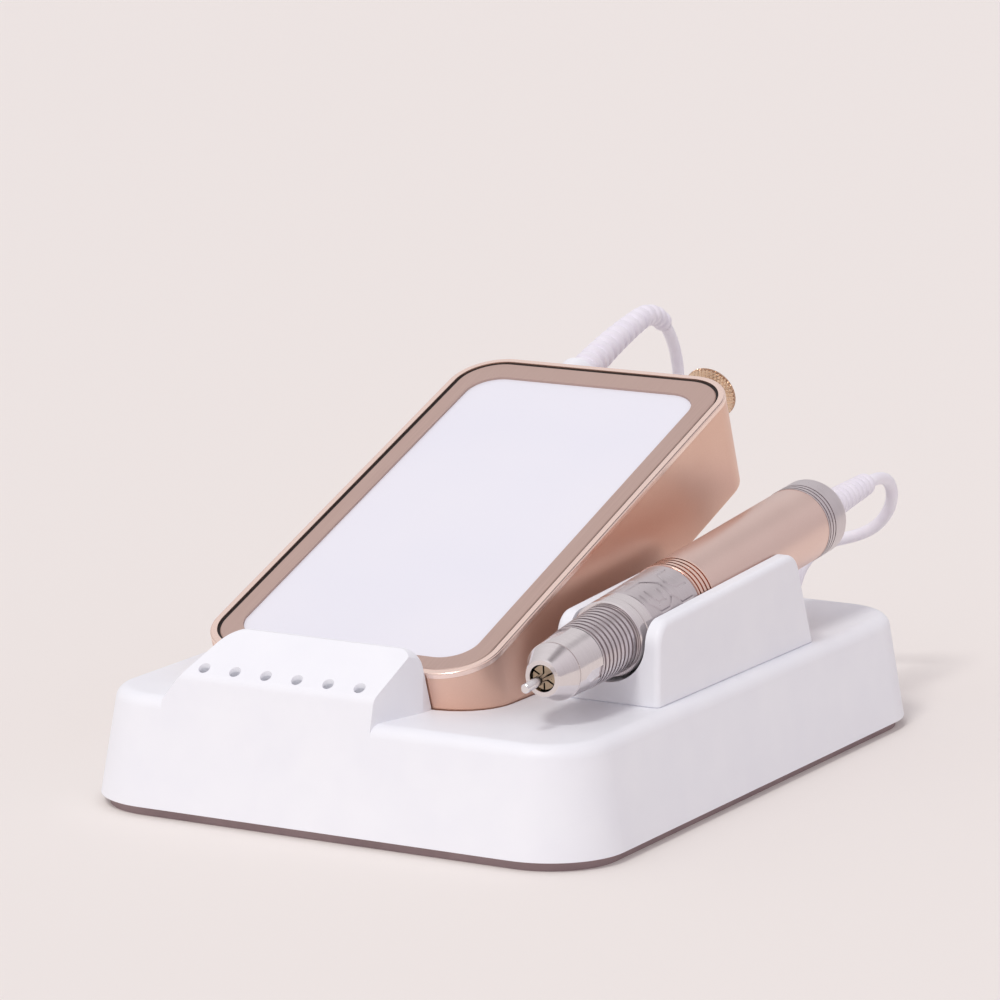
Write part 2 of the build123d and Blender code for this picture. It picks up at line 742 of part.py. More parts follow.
def make_handpiece_boot():
    """The ribbed strain relief behind the handpiece."""
    path = Wire([Edge.make_line(pen.from_local_coords((0, 0, PEN_REAR + 0.02)), BOOT_TIP)])
    neck = on(pen, Pos(0, 0, PEN_REAR - 4) * Cylinder(3.9, 8.5))
    return ribbed_boot(path, 4.4, 3.0, 12) + neck


# ------------------------------------------------------------------- cords
def cord_run(points):
    """A cord tube: straight runs joined by the largest tangent arcs."""
    corners = [Vector(*point) for point in points]
    radii = []
    for before, corner, after in zip(corners, corners[1:], corners[2:]):
        first = corner - before
        second = after - corner
        turn = first.get_angle(second)
        shorter = min(first.length, second.length)
        radii.append(0.45 * shorter / tan(radians(turn / 2)))
        print("  turn", round(turn, 1), "radius", round(radii[-1], 1), "run", round(first.length, 1))
    path = FilletPolyline(*corners, radius=radii)
    section = Plane(origin=path @ 0, z_dir=path % 0) * Circle(CORD_R)
    body = sweep(section, path)
    area = section.area
    print("  length", round(path.length, 1), "volume ratio", round(body.volume / (area * path.length), 4))
    return body


def make_coil():
    """The outer shape of the cord that is wound up behind the dock."""
    inner = COIL_MID_R - COIL_WIDE * CORD_R
    outer = COIL_MID_R + COIL_WIDE * CORD_R
    return Pos(COIL_X, COIL_Y, 0) * tube(outer, inner, 0, 2 * CORD_R + LAYER_RISE)


BOOT_WIRE = boot_path()
JACK_TIP = BOOT_WIRE @ 1
JACK_WAY = BOOT_WIRE % 1
JACK_EXIT = JACK_TIP + JACK_WAY * GAP
BOOT_TIP = pen.from_local_coords((0, 0, PEN_BOOT_END))
PEN_EXIT = pen.from_local_coords((0, 0, PEN_BOOT_END + GAP))
COIL_OUTER_R = COIL_MID_R + (COIL_WIDE - 1) * CORD_R
COIL_UPPER_R = COIL_OUTER_R - CORD_R
PEN_ROUTE = [
    tuple(PEN_EXIT),
    tuple(pen.from_local_coords((0, 0, PEN_BOOT_END + GAP + 12.1))),
    (48.5, 122.8, 50.9),
    (41.1, 125.1, 40.9),
    (26.6, 118.9, 37.6),
    (26.9, 102.8, 27.5),
    (COIL_X + COIL_OUTER_R, 107.5, CORD_R),
    (COIL_X + COIL_OUTER_R, COIL_Y, CORD_R),
]
JACK_ROUTE = [
    tuple(JACK_EXIT),
    tuple(JACK_EXIT + JACK_WAY * 10.2),
    (JACK_X + 0.6, JACK_EXIT.Y + 8.5, 64.0),
    (JACK_X + 0.6, JACK_EXIT.Y + 7.9, 37.0),
    (JACK_X + 6.2, JACK_EXIT.Y + 10.2, CORD_R),
    (COIL_X - 1.0, COIL_Y + COIL_UPPER_R, CORD_R + LAYER_RISE),
]

NODES = {
    "dock_shell": make_dock_shell,
    "controller_rest": make_controller_rest,
    "handpiece_cradle": make_handpiece_cradle,
    "base_plate": make_base_plate,
    "non_slip_pad": make_non_slip_pad,
    "base_screws": make_base_screws,
    "ballast_weight": make_ballast_weight,
    "charge_board": make_charge_board,
    "pin_block": make_pin_block,
    "charge_pins": make_charge_pins,
    "dock_inlet": make_dock_inlet,
    "controller_housing": make_housing,
    "controller_rim": make_rim,
    "display_gasket": make_gasket,
    "faceplate": make_faceplate,
    "display_window": make_window,
    "display_module": make_display_module,
    "main_board": make_main_board,
    "battery_cells": make_battery_cells,
    "battery_tray": make_battery_tray,
    "back_cover": make_back_cover,
    "cover_screws": make_cover_screws,
    "charge_pads": make_charge_pads,
    "controller_port": make_controller_port,
    "speed_pot": make_speed_pot,
    "knob_nut": make_knob_nut,
    "speed_knob": make_speed_knob,
    "knob_cap": make_knob_cap,
    "pot_shaft": make_pot_shaft,
    "handpiece_jack": make_jack,
    "handpiece_plug": make_plug,
    "controller_boot": make_controller_boot,
    "bit_shank": make_bit_shank,
    "collet": make_collet,
    "spindle": make_spindle,
    "motor_rotor": make_rotor,
    "front_bearings": make_bearings,
    "rear_bearing": make_rear_bearing,
    "motor_can": make_motor_can,
    "nose_cone": make_nose_cone,
    "front_sleeve": make_front_sleeve,
    "core_tube": make_core_tube,
    "lock_ring": make_lock_ring,
    "step_ring": make_step_ring,
    "grip_sleeve": make_grip_sleeve,
    "accent_ring": make_accent_ring,
    "barrel": make_barrel,
    "end_cap": make_end_cap,
    "handpiece_boot": make_handpiece_boot,
    "cord_coil": make_coil,
}

for name, make in NODES.items():
    save(name, make())
print("handpiece cord")
save("cord_handpiece", cord_run(PEN_ROUTE))
print("display unit cord")
save("cord_controller", cord_run(JACK_ROUTE))
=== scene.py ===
import json
from math import cos, floor, hypot, pi, radians, sin

import bpy
from mathutils import Matrix, Vector


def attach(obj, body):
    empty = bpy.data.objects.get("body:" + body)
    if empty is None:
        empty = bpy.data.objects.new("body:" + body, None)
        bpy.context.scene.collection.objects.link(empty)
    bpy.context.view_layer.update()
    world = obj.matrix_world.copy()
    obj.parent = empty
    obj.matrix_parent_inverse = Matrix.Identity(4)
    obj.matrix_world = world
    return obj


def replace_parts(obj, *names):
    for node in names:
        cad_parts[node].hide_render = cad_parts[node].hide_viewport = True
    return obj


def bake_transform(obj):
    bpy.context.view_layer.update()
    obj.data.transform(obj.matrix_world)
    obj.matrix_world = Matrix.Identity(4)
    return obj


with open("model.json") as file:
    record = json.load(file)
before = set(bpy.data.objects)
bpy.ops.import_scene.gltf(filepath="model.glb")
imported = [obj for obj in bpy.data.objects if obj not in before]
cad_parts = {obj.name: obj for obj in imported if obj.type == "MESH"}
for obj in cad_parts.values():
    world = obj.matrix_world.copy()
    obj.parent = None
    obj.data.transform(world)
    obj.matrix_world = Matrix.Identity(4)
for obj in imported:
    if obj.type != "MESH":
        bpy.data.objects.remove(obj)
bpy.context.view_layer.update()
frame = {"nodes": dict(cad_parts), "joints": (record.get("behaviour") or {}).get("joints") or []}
nodes = frame["nodes"]
joints = {joint["name"]: joint for joint in frame["joints"]}

# Sizes are in millimetres, as in the CAD model, and become metres through MM.
MM = 0.001

# Places that the CAD model fixes.
SLAB_TILT = 20.0
PEN_TILT = 5.5
PEN_ORIGIN = Vector((49.5, -83.94, 41.15))
PEN_REAR = 155.82
PEN_BOOT_END = 187.0
PEN_BOOT_RADII = 4.4, 3.0
PEN_BOOT_RIBS = 12
GRIP_START = 48.6
GRIP_END = 71.95
GRIP_BORE = 7.31
KNOB_R = 7.5
KNOB_START = 4.0
KNOB_END = 13.5
CORD_R = 1.65
CORD_GAP = 0.3
COIL_X = 3.8
COIL_Y = 126.9
COIL_MID_R = 19.1
COIL_WIDE = 4
LAYER_RISE = 2.86
JACK_X = -26.7
JACK_DOWN = 11.0
KNOB_X = 11.8
KNOB_DOWN = 13.0
PLUG_END = 13.02
JACK_BOOT_RADII = 4.4, 2.6
JACK_BOOT_RIBS = 15
JACK_BOOT_BENDS = (20.0, 20.0, 8.0), (20.0, 12.0, 28.0), (12.0, -40.0, 15.0)


def tilted(origin, lean):
    """A frame whose Z leans from upright towards +Y by an angle, with X kept."""
    return Matrix.Translation(origin) @ Matrix.Rotation(radians(-lean), 4, "X")


pen = tilted(PEN_ORIGIN, 90 - PEN_TILT)
knob_frame = tilted(Vector(joints["speed_knob_turn"]["pos_m"]) / MM, 90 - SLAB_TILT)
slab_turn = (radians(SLAB_TILT), 0, 0)
pen_turn = (radians(PEN_TILT - 90), 0, 0)
knob_turn = (radians(SLAB_TILT - 90), 0, 0)


# ------------------------------------------------------------- camera and light
CAMERA_AT = (0.6391, -1.1464, 0.3249)
CAMERA_TURN = 29.3
CAMERA_DOWN = 11.1
CAMERA_LENS = 190.8
CAMERA_SENSOR = 36
CAMERA_NEAR = 0.05
CAMERA_FAR = 60
SUN_FROM = (0.0, -0.60, 0.80)
SUN_ENERGY = 1.03
SUN_ANGLE = 13
SUN_COLOUR = (1.0, 0.99, 0.965)
FLOOR_HALF = 9.0
FLOOR_COLOUR = (0.86, 0.815, 0.785, 1)
FLOOR_ROUGHNESS = 0.9
FLOOR_SPECULAR = 0.1

# The room's colour: where along a signal each stop lies, and its colour.
ROOM_LOW = 0.0, (0.64, 0.61, 0.62, 1)
ROOM_HIGH = 0.8, (0.86, 0.835, 0.86, 1)
FULL_LEFT = 0.0, (1, 1, 1, 1)
DIM_RIGHT = 0.9, (0.90, 0.87, 0.90, 1)
PATCH_AT = (0.15, 0.40, 0.904)
PATCH_EDGE = 0.92, (1, 1, 1, 1)
PATCH_MIDDLE = 0.965, (0.16, 0.14, 0.15, 1)


def tint(red, green, blue):
    """A display colour, 0 to 255, as linear light."""
    def channel(value):
        value /= 255
        return value / 12.92 if value <= 0.04045 else ((value + 0.055) / 1.055) ** 2.4

    return channel(red), channel(green), channel(blue), 1.0


def add(name, data):
    """Put a new object in the scene."""
    made = bpy.data.objects.new(name, data)
    bpy.context.scene.collection.objects.link(made)
    return made


def add_camera():
    """The camera, at the angle that shows the front and right sides."""
    data = bpy.data.cameras.new("camera")
    data.lens = CAMERA_LENS
    data.sensor_width = CAMERA_SENSOR
    data.clip_start = CAMERA_NEAR
    data.clip_end = CAMERA_FAR
    camera = add("camera", data)
    camera.location = CAMERA_AT
    camera.rotation_euler = (radians(90 - CAMERA_DOWN), 0, radians(CAMERA_TURN))
    bpy.context.scene.camera = camera


def add_sun():
    """One soft key light from high in front."""
    data = bpy.data.lights.new("key", "SUN")
    data.energy = SUN_ENERGY
    data.angle = radians(SUN_ANGLE)
    data.color = SUN_COLOUR
    sun = add("key", data)
    sun.rotation_euler = Vector(SUN_FROM).to_track_quat("Z", "Y").to_euler()


def ramp(tree, source, *stops):
    """A colour that follows a signal between two stops."""
    made = tree.nodes.new("ShaderNodeValToRGB")
    tree.links.new(source, made.inputs[0])
    for index, (position, colour) in enumerate(stops):
        made.color_ramp.elements[index].position = position
        made.color_ramp.elements[index].color = colour
    return made.outputs[0]


def multiplied(tree, first, second):
    """The product of two colours."""
    made = tree.nodes.new("ShaderNodeMix")
    made.data_type = "RGBA"
    made.blend_type = "MULTIPLY"
    made.inputs[0].default_value = 1.0
    tree.links.new(first, made.inputs[6])
    tree.links.new(second, made.inputs[7])
    return made.outputs[2]


def add_world():
    """A pale room, brighter overhead and dimmer on the right, with a dark patch high behind."""
    world = bpy.data.worlds.new("room")
    bpy.context.scene.world = world
    world.use_nodes = True
    tree = world.node_tree
    way = tree.nodes.new("ShaderNodeTexCoord").outputs["Generated"]
    split = tree.nodes.new("ShaderNodeSeparateXYZ")
    tree.links.new(way, split.inputs[0])
    aim = tree.nodes.new("ShaderNodeVectorMath")
    aim.operation = "DOT_PRODUCT"
    aim.inputs[1].default_value = PATCH_AT
    tree.links.new(way, aim.inputs[0])
    room = ramp(tree, split.outputs["Z"], ROOM_LOW, ROOM_HIGH)
    room = multiplied(tree, room, ramp(tree, split.outputs["X"], FULL_LEFT, DIM_RIGHT))
    room = multiplied(tree, room, ramp(tree, aim.outputs["Value"], PATCH_EDGE, PATCH_MIDDLE))
    tree.links.new(room, tree.nodes["Background"].inputs["Color"])


def add_floor():
    """The plain pale floor, which fills the view."""
    mesh = bpy.data.meshes.new("floor")
    corners = [(x * FLOOR_HALF, y * FLOOR_HALF, 0) for x, y in ((-1, -1), (1, -1), (1, 1), (-1, 1))]
    mesh.from_pydata(corners, [], [(0, 1, 2, 3)])
    floor_plane = add("floor", mesh)
    look = bpy.data.materials.new("floor_paper")
    look.use_nodes = True
    shader = look.node_tree.nodes["Principled BSDF"]
    shader.inputs["Base Color"].default_value = FLOOR_COLOUR
    shader.inputs["Roughness"].default_value = FLOOR_ROUGHNESS
    shader.inputs["Specular IOR Level"].default_value = FLOOR_SPECULAR
    mesh.materials.append(look)


add_camera()
add_sun()
add_world()
add_floor()
bpy.context.scene.view_settings.view_transform = "Standard"


# ------------------------------------------------------------------- materials
class Look:
    """One procedural material: a Principled shader and what feeds it."""

    def __init__(self, name, **sockets):
        self.material = bpy.data.materials.new("look_" + name)
        self.material.use_nodes = True
        self.tree = self.material.node_tree
        self.shader = self.tree.nodes["Principled BSDF"]
        self.height = None
        for key, value in sockets.items():
            self.shader.inputs[key.replace("_", " ")].default_value = value

    def node(self, kind, **settings):
        made = self.tree.nodes.new("ShaderNode" + kind)
        for key, value in settings.items():
            setattr(made, key, value)
        return made

    def link(self, source, target):
        self.tree.links.new(source, target)

    def place(self, grain, turn):
        """Object coordinates turned to a direction and counted in grains."""
        where = self.node("TexCoord")
        mapping = self.node("Mapping", vector_type="TEXTURE")
        self.link(where.outputs["Object"], mapping.inputs["Vector"])
        mapping.inputs["Rotation"].default_value = turn
        sizes = grain if isinstance(grain, tuple) else (grain, grain, grain)
        mapping.inputs["Scale"].default_value = [size * MM for size in sizes]
        return mapping.outputs["Vector"]

    def noise(self, grain, turn=(0, 0, 0), detail=2.0):
        made = self.node("TexNoise")
        made.inputs["Scale"].default_value = 1.0
        made.inputs["Detail"].default_value = detail
        self.link(self.place(grain, turn), made.inputs["Vector"])
        return made.outputs["Fac"]

    def spread(self, source, low, high, between=(0.3, 0.7)):
        """Stretch a 0 to 1 signal between two values."""
        made = self.node("MapRange")
        made.inputs["From Min"].default_value = between[0]
        made.inputs["From Max"].default_value = between[1]
        made.inputs["To Min"].default_value = low
        made.inputs["To Max"].default_value = high
        self.link(source, made.inputs["Value"])
        return made.outputs["Result"]

    def colour(self, source, first, second):
        """Base colour that runs between two tints."""
        made = self.node("Mix", data_type="RGBA")
        made.inputs[6].default_value = first
        made.inputs[7].default_value = second
        self.link(self.spread(source, 0.0, 1.0), made.inputs[0])
        self.link(made.outputs[2], self.shader.inputs["Base Color"])

    def roughness(self, source, low, high):
        self.link(self.spread(source, low, high), self.shader.inputs["Roughness"])

    def bump(self, source, depth):
        """Add a relief of so many millimetres on top of the last one."""
        made = self.node("Bump")
        made.inputs["Strength"].default_value = 1.0
        made.inputs["Distance"].default_value = depth * MM
        self.link(source, made.inputs["Height"])
        if self.height is not None:
            self.link(self.height, made.inputs["Normal"])
        self.height = made.outputs["Normal"]
        self.link(self.height, self.shader.inputs["Normal"])


def moulded(name, first, second, rough, grain=0.35, relief=0.006):
    """Moulded plastic: a fine spark-eroded texture and a faint cloudiness."""
    look = Look(name, Specular_IOR_Level=0.45)
    cloud = look.noise(14.0)
    fine = look.noise(grain, detail=3.0)
    look.colour(cloud, first, second)
    look.roughness(fine, rough - 0.05, rough + 0.07)
    look.bump(fine, relief)
    return look


def blasted(name, first, second, rough, grain=0.16, relief=0.004):
    """Bead-blasted metal: an even fine grain that scatters reflections."""
    look = Look(name, Metallic=1.0)
    cloud = look.noise(18.0)
    fine = look.noise(grain)
    look.colour(fine, first, second)
    look.roughness(cloud, rough - 0.03, rough + 0.04)
    look.bump(fine, relief)
    return look


def turned(name, first, second, rough, relief=0.003, turn=pen_turn):
    """Turned metal: rings of fine tool marks about an axis."""
    look = Look(name, Metallic=1.0)
    marks = look.noise((9.0, 9.0, 0.12), turn)
    smear = look.noise((2.0, 2.0, 1.2), turn, detail=3.0)
    look.colour(marks, first, second)
    look.roughness(smear, rough - 0.03, rough + 0.05)
    look.bump(marks, relief)
    return look


def brushed(name, first, second, rough):
    """Fine straight brushing under a matt coat."""
    look = Look(name, Metallic=0.55)
    lines = look.noise((0.14, 22.0, 0.14), slab_turn, detail=3.0)
    cloud = look.noise(25.0)
    look.colour(lines, first, second)
    look.roughness(cloud, rough - 0.03, rough + 0.05)
    look.bump(lines, 0.002)
    return look


def circuit_board(name):
    """Green solder mask over tracks, with brighter pads."""
    look = Look(name)
    tracks = look.node("TexBrick", offset=0.5)
    tracks.inputs["Scale"].default_value = 1.0
    tracks.inputs["Mortar Size"].default_value = 0.06
    tracks.inputs["Color1"].default_value = tint(22, 78, 52)
    tracks.inputs["Color2"].default_value = tint(27, 90, 60)
    tracks.inputs["Mortar"].default_value = tint(64, 132, 92)
    look.link(look.place((3.1, 1.7, 1.7), slab_turn), tracks.inputs["Vector"])
    look.link(tracks.outputs["Color"], look.shader.inputs["Base Color"])
    look.roughness(look.noise(0.8), 0.28, 0.4)
    look.bump(tracks.outputs["Fac"], 0.03)
    return look


def shrink_wrap(name):
    """Plain blue film shrunk over a cell, with fine wrinkles."""
    look = Look(name, Specular_IOR_Level=0.6)
    wrinkle = look.noise((6.0, 0.7, 6.0), slab_turn, detail=4.0)
    look.colour(wrinkle, tint(38, 92, 150), tint(52, 110, 170))
    look.roughness(wrinkle, 0.24, 0.38)
    look.bump(wrinkle, 0.05)
    return look


def window_panel(name):
    """The pale window: a gloss sheet over a faintly diffusing white."""
    look = Look(name, Coat_Weight=0.35, Coat_Roughness=0.06, Specular_IOR_Level=0.35)
    cloud = look.noise(60.0)
    fine = look.noise(0.5)
    look.colour(cloud, tint(232, 232, 242), tint(236, 235, 243))
    look.roughness(fine, 0.34, 0.42)
    look.bump(fine, 0.0015)
    return look


def soft_jacket(name, first, second):
    """Soft cord jacket: matt, with a faint drawn grain and dust."""
    look = Look(name, Sheen_Weight=0.12, Sheen_Roughness=0.5, Specular_IOR_Level=0.35)
    cloud = look.noise(6.0)
    fine = look.noise(0.3, detail=3.0)
    look.colour(cloud, first, second)
    look.roughness(fine, 0.5, 0.64)
    look.bump(fine, 0.01)
    return look


WHITE = tint(240, 241, 247), tint(243, 244, 249)
ROSE = tint(226, 188, 168), tint(232, 196, 178)
SILVER = tint(222, 215, 215), tint(230, 224, 224)
STEEL = tint(196, 196, 198), tint(212, 212, 214)
GOLD = tint(232, 186, 118), tint(244, 204, 140)

looks = [
    ("white_plastic", moulded("white_plastic", *WHITE, 0.46)),
    ("base_plastic", moulded("base_plastic", tint(172, 158, 160), tint(182, 168, 170), 0.55)),
    ("pad_rubber", moulded(
        "pad_rubber", tint(150, 130, 132), tint(162, 142, 143), 0.8, grain=0.5, relief=0.03,
    )),
    ("fixing_steel", turned("fixing_steel", *STEEL, 0.34, turn=(0, 0, 0))),
    ("ballast_steel", blasted("ballast_steel", tint(120, 122, 126), tint(140, 142, 146), 0.5, grain=0.6)),
    ("circuit_board", circuit_board("circuit_board")),
    ("pin_holder", moulded("pin_holder", tint(36, 36, 38), tint(44, 44, 46), 0.55)),
    ("gold_contact", turned("gold_contact", *GOLD, 0.2, turn=slab_turn)),
    ("inlet_steel", blasted("inlet_steel", *STEEL, 0.28)),
    ("rose_satin", blasted("rose_satin", *ROSE, 0.36)),
    ("rose_barrel", blasted("rose_barrel", tint(230, 202, 191), tint(236, 210, 200), 0.36)),
    ("rose_bright", turned("rose_bright", tint(240, 206, 190), tint(248, 216, 202), 0.2)),
    ("rose_rim", blasted("rose_rim", tint(248, 220, 206), tint(250, 226, 214), 0.24, relief=0.002)),
    ("black_seal", moulded("black_seal", tint(24, 18, 18), tint(32, 25, 24), 0.7)),
    ("mauve_face", brushed("mauve_face", tint(190, 163, 153), tint(200, 174, 164), 0.5)),
    ("pale_window", window_panel("pale_window")),
    ("display_stack", moulded("display_stack", tint(46, 46, 52), tint(54, 54, 60), 0.4)),
    ("cell_wrap", shrink_wrap("cell_wrap")),
    ("cover_plastic", moulded("cover_plastic", tint(224, 196, 186), tint(230, 204, 195), 0.55)),
    ("pot_body", moulded("pot_body", tint(60, 60, 64), tint(70, 70, 74), 0.45)),
    ("shaft_steel", turned("shaft_steel", tint(226, 222, 222), tint(236, 232, 232), 0.16)),
    ("knob_gold", turned("knob_gold", tint(224, 190, 158), tint(238, 208, 178), 0.24, turn=knob_turn)),
    ("knob_silver", turned("knob_silver", *SILVER, 0.2, turn=knob_turn)),
    ("jack_metal", turned("jack_metal", *STEEL, 0.3, turn=knob_turn)),
    ("plug_white", moulded("plug_white", *WHITE, 0.4)),
    ("boot_white", soft_jacket("boot_white", tint(234, 230, 240), tint(240, 236, 244))),
    ("collet_brass", turned("collet_brass", tint(168, 150, 128), tint(186, 168, 146), 0.3)),
    ("rotor_steel", turned("rotor_steel", *STEEL, 0.35)),
    ("can_steel", turned("can_steel", *STEEL, 0.32)),
    ("silver_bright", turned("silver_bright", *SILVER, 0.14, relief=0.0015)),
    ("silver_satin", turned("silver_satin", tint(206, 198, 200), tint(216, 208, 210), 0.3)),
    ("cord_white", soft_jacket("cord_white", tint(236, 232, 241), tint(241, 238, 245))),
]
finishes = {slot: look.material for slot, look in looks}

for node in nodes.values():
    for place in node.material_slots:
        place.material = finishes[place.material.name.split(".")[0]]


# ---------------------------------------------------------------------- pieces
def mesh_piece(name, points, faces, slot, body=None, smooth=True):
    """A mesh piece from points in millimetres, which rides on a body."""
    mesh = bpy.data.meshes.new(name)
    mesh.from_pydata([tuple(point * MM) for point in points], [], faces)
    mesh.polygons.foreach_set("use_smooth", [smooth] * len(mesh.polygons))
    mesh.update()
    mesh.materials.append(finishes[slot])
    piece = add(name, mesh)
    if body:
        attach(piece, body)
    return piece


def ring_faces(rings, columns, closed):
    """Quads between rows of points, joined end to end if the rows close."""
    faces = []
    for row in range(rings if closed else rings - 1):
        low = row * columns
        high = (row + 1) % rings * columns
        for column in range(columns):
            after = (column + 1) % columns
            faces.append((low + column, low + after, high + after, high + column))
    return faces


def sleeve(places, columns, radius_at, bore=None):
    """Points and faces of a turned form: rings of varying radius at a list of places.

    The form is closed by flat ends, or by a bore right through it.
    """
    rings = [(place, [radius_at(row, 2 * pi * column / columns) for column in range(columns)])
             for row, place in enumerate(places)]
    if bore is not None:
        rings = [(places[0], [bore] * columns), *rings, (places[-1], [bore] * columns)]
    points = []
    for place, radii in rings:
        for column, radius in enumerate(radii):
            angle = 2 * pi * column / columns
            points.append(place @ Vector((radius * cos(angle), radius * sin(angle), 0)))
    faces = ring_faces(len(rings), columns, bore is not None)
    if bore is None:
        faces.append(tuple(reversed(range(columns))))
        last = (len(rings) - 1) * columns
        faces.append(tuple(range(last, last + columns)))
    return points, faces


def straight(start, end, rows, base):
    """Frames evenly spaced along a frame's own axis."""
    heights = [start + (end - start) * row / (rows - 1) for row in range(rows)]
    return [base @ Matrix.Translation((0, 0, height)) for height in heights]


def along(line):
    """Frames along a line of points, turned as little as possible from one to the next."""
    frames = []
    side = None
    for index, point in enumerate(line):
        before = line[max(index - 1, 0)]
        after = line[min(index + 1, len(line) - 1)]
        way = (after - before).normalized()
        if side is None:
            side = Vector((1, 0, 0))
        side = (side - way * side.dot(way)).normalized()
        across = way.cross(side)
        turn = Matrix((side, across, way)).transposed().to_4x4()
        frames.append(Matrix.Translation(point) @ turn)
    return frames


def smooth_step(value):
    """An S from 0 to 1."""
    value = min(1.0, max(0.0, value))
    return value * value * (3 - 2 * value)


# ----------------------------------------------------------------------- cords
BOOT_STEP = 0.25
PEN_FIRST_RUN = 12.1
JACK_FIRST_RUN = 10.2
REST_RISE = 0.4
TURN_POINTS = 16
COIL_STEP_FROM = 300 / 360
BOTTOM_TURNS = COIL_WIDE
TOP_TURNS = COIL_WIDE - 1.75
CLIMB_TURNS = 0.3
CLIMB_SWING = 1.2
CROSSING_RISE = 0.44
OUTER_R = COIL_MID_R + (COIL_WIDE - 1) * CORD_R
INNER_R = COIL_MID_R - (COIL_WIDE - 1) * CORD_R
CORD_SIDES = 20
PEN_CORD_STEPS = 6
JACK_CORD_STEPS = 12


def boot_line():
    """Centreline of the strain relief behind the display unit: a run and two bends."""
    lean = radians(SLAB_TILT)
    knob_at = Vector(joints["speed_knob_turn"]["pos_m"]) / MM
    rise = (KNOB_DOWN - JACK_DOWN) * Vector((0, -sin(lean), cos(lean)))
    out = PLUG_END * Vector((0, cos(lean), sin(lean)))
    line = [knob_at + Vector((JACK_X - KNOB_X, 0, 0)) + rise + out]
    for angle_in, angle_out, length in JACK_BOOT_BENDS:
        steps = round(length / BOOT_STEP)
        for step in range(steps):
            angle = radians(angle_in + (angle_out - angle_in) * (step + 0.5) / steps)
            line.append(line[-1] + Vector((0, cos(angle), sin(angle))) * length / steps)
    return line


JACK_LINE = boot_line()
JACK_LEAN = radians(JACK_BOOT_BENDS[-1][1])
JACK_WAY = Vector((0, cos(JACK_LEAN), sin(JACK_LEAN)))
JACK_EXIT = JACK_LINE[-1] + JACK_WAY * CORD_GAP
PEN_EXIT = pen @ Vector((0, 0, PEN_BOOT_END + CORD_GAP))
PEN_ROUTE = [
    tuple(PEN_EXIT),
    tuple(pen @ Vector((0, 0, PEN_BOOT_END + CORD_GAP + PEN_FIRST_RUN))),
    (48.5, 122.8, 50.9),
    (41.1, 125.1, 40.9),
    (26.6, 118.9, 37.6),
    (26.9, 102.8, 27.5),
    (27.85, 107.5, CORD_R),
]
JACK_ROUTE = [
    tuple(JACK_EXIT),
    tuple(JACK_EXIT + JACK_WAY * JACK_FIRST_RUN),
    (JACK_X + 0.6, JACK_EXIT.y + 8.5, 64.0),
    (JACK_X + 0.6, JACK_EXIT.y + 7.9, 37.0),
    (JACK_X + 6.2, JACK_EXIT.y + 10.2, CORD_R + LAYER_RISE + REST_RISE),
]


def stepped(turns):
    """Whole turns made so far, where each turn moves over in its last sixth."""
    return floor(turns) + smooth_step((turns % 1 - COIL_STEP_FROM) / (1 - COIL_STEP_FROM))


def coil_points():
    """The wound-up cord: in along the floor, up, and out again over the first layer."""
    points = []
    steps = round((BOTTOM_TURNS + TOP_TURNS) * TURN_POINTS)
    for index in range(steps + 1):
        turns = index / TURN_POINTS
        angle = 2 * pi * turns
        if turns < BOTTOM_TURNS - CLIMB_TURNS:
            radius = OUTER_R - 2 * CORD_R * stepped(turns)
            height = CORD_R
        elif turns < BOTTOM_TURNS:
            climb = (turns - BOTTOM_TURNS + CLIMB_TURNS) / CLIMB_TURNS
            radius = INNER_R - CLIMB_SWING * sin(pi * climb) + CORD_R * smooth_step(2 * climb - 1)
            height = CORD_R + LAYER_RISE * smooth_step(climb)
        else:
            over = turns - BOTTOM_TURNS
            radius = INNER_R + CORD_R + 2 * CORD_R * stepped(over)
            crossing = stepped(over) % 1
            height = CORD_R + LAYER_RISE + CROSSING_RISE * sin(pi * crossing)
        points.append((COIL_X + radius * cos(angle), COIL_Y + radius * sin(angle), height))
    return points


def spline_line(name, points, resolution):
    """Points along a NURBS curve through a route, read from Blender's own curve."""
    curve = bpy.data.curves.new(name, "CURVE")
    curve.dimensions = "3D"
    curve.resolution_u = resolution
    spline = curve.splines.new("NURBS")
    spline.points.add(len(points) - 1)
    for point, place in zip(spline.points, points):
        point.co = (*(Vector(place) * MM), 1)
    spline.order_u = 3
    spline.use_endpoint_u = True
    holder = bpy.data.objects.new(name, curve)
    mesh = bpy.data.meshes.new_from_object(holder)
    line = [vertex.co / MM for vertex in mesh.vertices]
    bpy.data.meshes.remove(mesh)
    bpy.data.objects.remove(holder)
    bpy.data.curves.remove(curve)
    return line


def cord_piece(name, route, resolution, replaced):
    """One cord as a tube that bends between the coil and the body that it hangs from."""
    line = spline_line(name, route, resolution)
    points, faces = sleeve(along(line), CORD_SIDES, lambda row, angle: CORD_R)
    piece = mesh_piece(name, points, faces, "cord_white")
    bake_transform(piece)
    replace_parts(piece, *replaced)


coil = coil_points()
cord_piece(
    "handpiece_lead", PEN_ROUTE + coil, PEN_CORD_STEPS,
    ("cord_handpiece", "cord_coil"),
)
cord_piece(
    "controller_lead", JACK_ROUTE + coil[-1:], JACK_CORD_STEPS,
    ("cord_controller",),
)


# ------------------------------------------------------------------------ knob
def knurl(turn, count, height, pitch):
    """Relief of a diamond knurl, 1 on its points and 0 in its grooves."""
    around = turn / (2 * pi) * count
    first = abs((around + height / pitch) % 1 - 0.5) * 2
    second = abs((around - height / pitch) % 1 - 0.5) * 2
    return min(1 - first, 1 - second)


